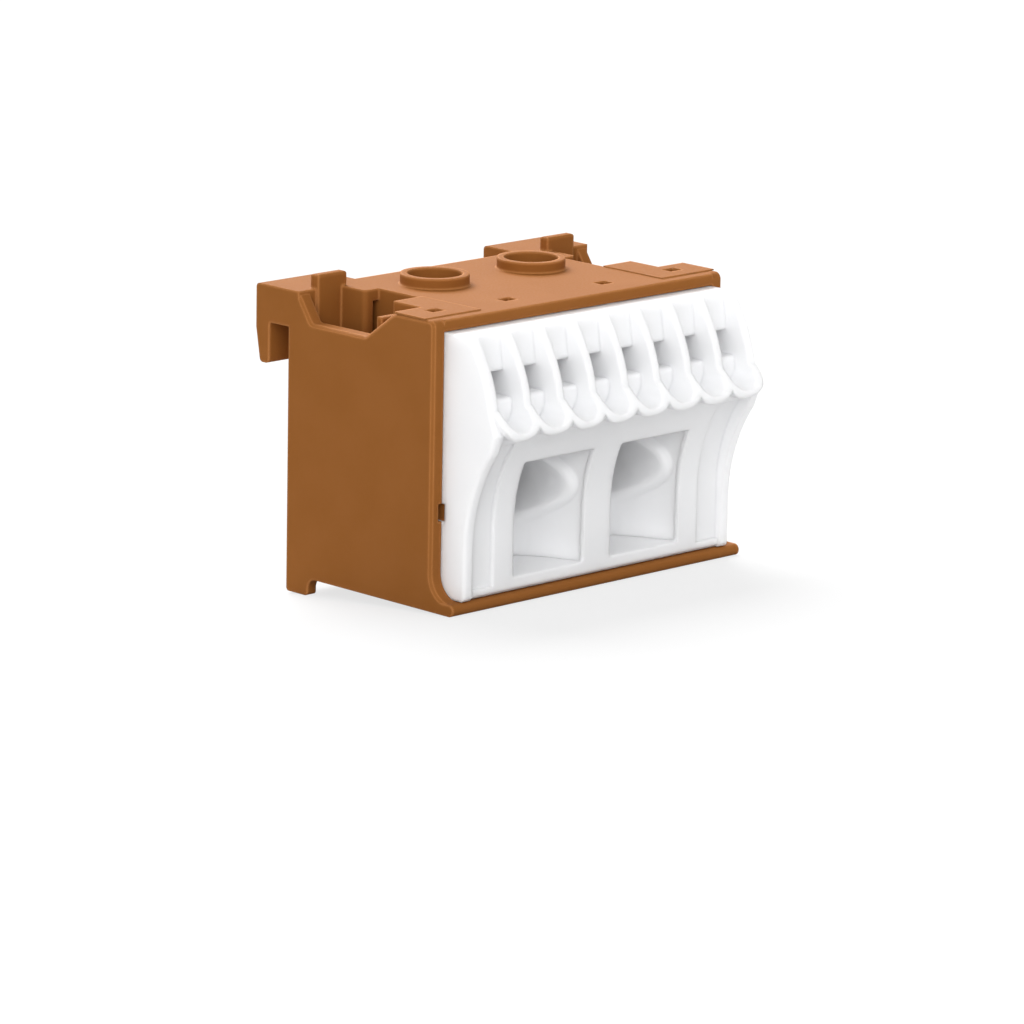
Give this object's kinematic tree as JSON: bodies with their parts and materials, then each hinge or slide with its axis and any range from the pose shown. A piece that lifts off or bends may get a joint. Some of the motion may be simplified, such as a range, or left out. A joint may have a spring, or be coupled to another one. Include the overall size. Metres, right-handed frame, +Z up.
{
  "type": "terminal block",
  "caption": "Brown terminal block with rail hooks and a white front: a row of push-in wire entries above wide screw-clamp openings, with collars on top for the driver.",
  "frame": {"origin": "middle of the flat rear face, level with the ceiling of the two hook slots", "axes": "+X along the row of entries, +Y out of the rear face, +Z up; the wiring side faces -Y"},
  "size_m": [0.045, 0.0379, 0.0359],
  "materials": {
    "housing_plastic": "fine matte",
    "front_plastic": "satin",
    "bar_metal": "rolled strip",
    "cage_steel": "zinc plated",
    "screw_steel": "zinc plated",
    "spring_steel": "bright strip"
  },
  "bodies": {
    "block": {"housing": "housing_plastic", "front_moulding": "front_plastic", "current_bar": "bar_metal", "contact_spring_1": "spring_steel", "contact_spring_2": "spring_steel", "contact_spring_3": "spring_steel", "contact_spring_4": "spring_steel", "contact_spring_5": "spring_steel", "contact_spring_6": "spring_steel", "contact_spring_7": "spring_steel", "contact_spring_8": "spring_steel"},
    "screw_left": {"clamp_screw_left": "screw_steel"},
    "screw_right": {"clamp_screw_right": "screw_steel"},
    "cage_left": {"clamp_cage_left": "cage_steel"},
    "cage_right": {"clamp_cage_right": "cage_steel"}
  },
  "joints": [
    {"name": "screw_left_turn", "type": "hinge", "parent": "block", "child": "screw_left", "pos_m": [-0.0075, -0.0076, 0.0027], "axis": [0, 0, -1], "range_deg": [0, 3240]},
    {"name": "cage_left_rise", "type": "slide", "parent": "block", "child": "cage_left", "axis": [0, 0, 1], "range_m": [0, 0.0072]},
    {"name": "screw_right_turn", "type": "hinge", "parent": "block", "child": "screw_right", "pos_m": [0.0075, -0.0076, 0.0027], "axis": [0, 0, -1], "range_deg": [0, 3240]},
    {"name": "cage_right_rise", "type": "slide", "parent": "block", "child": "cage_right", "axis": [0, 0, 1], "range_m": [0, 0.0072]}
  ],
  "couplings": [
    {"joint": "screw_left_turn", "follows": "cage_left_rise", "rad_per_m": 7854},
    {"joint": "screw_right_turn", "follows": "cage_right_rise", "rad_per_m": 7854}
  ]
}
